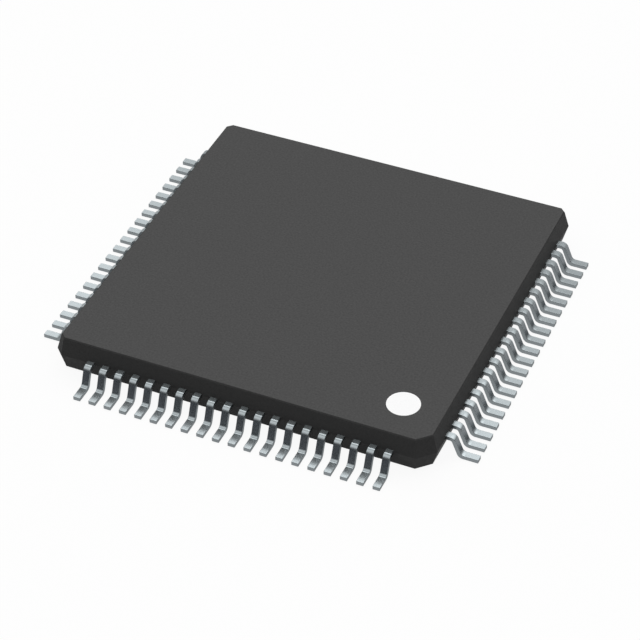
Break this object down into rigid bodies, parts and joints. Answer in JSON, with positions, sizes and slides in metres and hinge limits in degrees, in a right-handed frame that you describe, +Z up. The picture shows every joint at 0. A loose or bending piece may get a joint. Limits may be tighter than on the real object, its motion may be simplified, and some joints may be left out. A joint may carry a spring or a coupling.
{
  "type": "integrated circuit",
  "caption": "Square surface-mount integrated circuit: a thin moulded body with gull-wing leads on all four sides and a round pin 1 mark.",
  "frame": {"origin": "centre of the seating plane, level with the undersides of the feet", "axes": "+Z up out of the marked top face; the pin 1 corner is at -X +Y, pin 1 at the +Y end of the -X row, and the pins count anticlockwise seen from above"},
  "size_m": [0.014, 0.014, 0.0012],
  "materials": {
    "mould_compound": "matte",
    "mark_ink": "matte",
    "lead_finish": "satin",
    "paddle_alloy": "satin",
    "silicon": "gloss",
    "die_adhesive": "matte",
    "wire_gold": "gloss"
  },
  "bodies": {
    "root": {"body": "mould_compound", "pin_1_mark": "mark_ink", "die": "silicon", "die_attach": "die_adhesive", "die_paddle": "paddle_alloy", "leads_01_05": "lead_finish", "leads_06_10": "lead_finish", "leads_11_15": "lead_finish", "leads_16_20": "lead_finish", "leads_21_25": "lead_finish", "leads_26_30": "lead_finish", "leads_31_35": "lead_finish", "leads_36_40": "lead_finish", "leads_41_45": "lead_finish", "leads_46_50": "lead_finish", "leads_51_55": "lead_finish", "leads_56_60": "lead_finish", "leads_61_65": "lead_finish", "leads_66_70": "lead_finish", "leads_71_75": "lead_finish", "leads_76_80": "lead_finish", "bond_wires_01_05": "wire_gold", "bond_wires_06_10": "wire_gold", "bond_wires_11_15": "wire_gold", "bond_wires_16_20": "wire_gold", "bond_wires_21_25": "wire_gold", "bond_wires_26_30": "wire_gold", "bond_wires_31_35": "wire_gold", "bond_wires_36_40": "wire_gold", "bond_wires_41_45": "wire_gold", "bond_wires_46_50": "wire_gold", "bond_wires_51_55": "wire_gold", "bond_wires_56_60": "wire_gold", "bond_wires_61_65": "wire_gold", "bond_wires_66_70": "wire_gold", "bond_wires_71_75": "wire_gold", "bond_wires_76_80": "wire_gold"}
  },
  "joints": []
}
